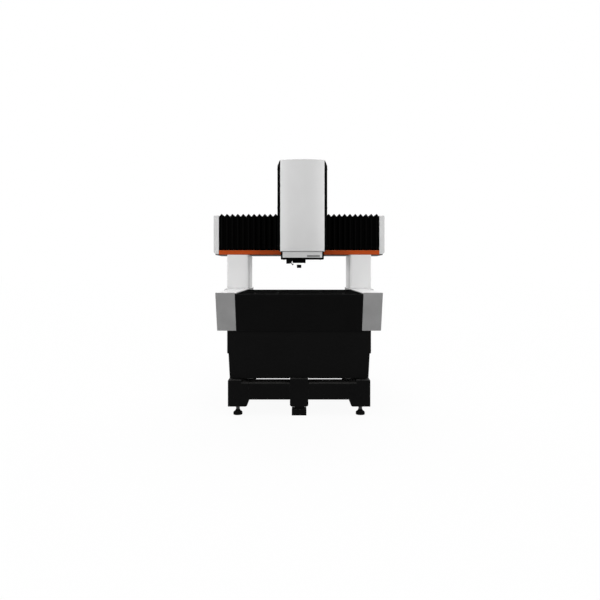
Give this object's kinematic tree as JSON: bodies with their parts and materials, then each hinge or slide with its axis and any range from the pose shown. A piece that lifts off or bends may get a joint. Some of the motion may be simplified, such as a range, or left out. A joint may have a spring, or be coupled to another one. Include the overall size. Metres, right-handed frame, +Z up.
{
  "type": "coordinate measuring machine",
  "caption": "Floor-standing moving-bridge measuring machine with a stone table, pleated bellows along the beam, and an optical head with a touch probe.",
  "frame": {"origin": "on the floor, under the middle of the machine's outline", "axes": "+X to the operator's right, +Y away from the operator, +Z up"},
  "size_m": [1.436, 1.48, 1.868],
  "materials": {
    "steel": "ground",
    "black_paint": "fine matt paint",
    "rubber": "matt",
    "black_mineral": "painted mineral casting",
    "stone": "lapped dark stone",
    "grey_mineral": "grey paint on mineral casting",
    "white_paint": "smooth paint",
    "light_paint": "fine textured paint",
    "light_plastic": "fine moulded grain",
    "orange_paint": "satin paint",
    "bellows_cloth": "coated cloth",
    "black_plastic": "fine moulded grain",
    "black_anodised": "black anodised",
    "white_plastic": "opal",
    "glass": "coated",
    "aluminium": "milled",
    "magnet": "nickel plated",
    "coil_resin": "cast resin",
    "scale_steel": "graduated tape",
    "black_ceramic": "polished ball on a ceramic stem"
  },
  "bodies": {
    "base": {"foot_pads": "black_paint", "foot_studs": "steel", "centre_feet": "black_paint", "stand_legs": "black_paint", "stand_rails": "black_paint", "isolators": "rubber", "machine_bed": "black_mineral", "stone_table": "stone", "table_inserts": "steel", "front_apron": "black_paint", "front_panel": "black_paint", "rear_panel": "black_paint", "side_skirts": "black_paint", "guide_beams": "grey_mineral", "guide_strips": "white_paint", "y_rails": "steel", "y_magnet_track": "magnet", "y_scale": "scale_steel"},
    "bridge": {"columns": "light_paint", "bearing_arms": "light_paint", "y_bearing_blocks": "steel", "drive_covers": "light_plastic", "y_motor_coil": "coil_resin", "y_read_head": "coil_resin", "beam": "aluminium", "x_rails": "steel", "x_magnet_track": "magnet", "x_scale": "scale_steel", "beam_valance": "black_paint", "beam_stripe": "orange_paint", "beam_end_caps": "light_plastic", "beam_rear_cover": "light_paint", "left_bellows": "bellows_cloth", "right_bellows": "bellows_cloth"},
    "carriage": {"carriage_plate": "aluminium", "x_bearing_blocks": "steel", "x_motor_coil": "coil_resin", "x_read_head": "coil_resin", "carriage_cover": "black_paint", "z_backplate": "aluminium", "z_rails": "steel", "z_magnet_track": "magnet", "counterbalance_cylinder": "aluminium", "head_cover": "light_plastic", "head_side_panels": "black_plastic", "head_hood": "black_plastic"},
    "head": {"z_slide": "aluminium", "z_bearing_blocks": "steel", "z_motor_coil": "coil_resin", "counterbalance_rod": "steel", "shroud": "black_plastic", "shroud_face": "light_plastic", "ring_light": "black_plastic", "light_cone": "white_plastic", "objective": "black_anodised", "objective_lens": "glass", "optical_tube": "black_anodised", "camera": "black_anodised", "probe_block": "black_anodised"},
    "stylus": {"stylus": "black_ceramic"}
  },
  "joints": [
    {"name": "bridge_y", "type": "slide", "parent": "base", "child": "bridge", "axis": [0, 1, 0], "range_m": [-0.55, 0.05]},
    {"name": "carriage_x", "type": "slide", "parent": "bridge", "child": "carriage", "axis": [1, 0, 0], "range_m": [-0.275, 0.225], "deforming": ["left_bellows", "right_bellows"]},
    {"name": "head_z", "type": "slide", "parent": "carriage", "child": "head", "axis": [0, 0, 1], "range_m": [-0.15, 0.05]},
    {"name": "stylus_tilt", "type": "hinge", "parent": "head", "child": "stylus", "pos_m": [-0.06854, 0.062, 1.05054], "axis": [0, 1, 0], "range_deg": [-10, 10], "stiffness_Nm_per_rad": 0.15}
  ]
}
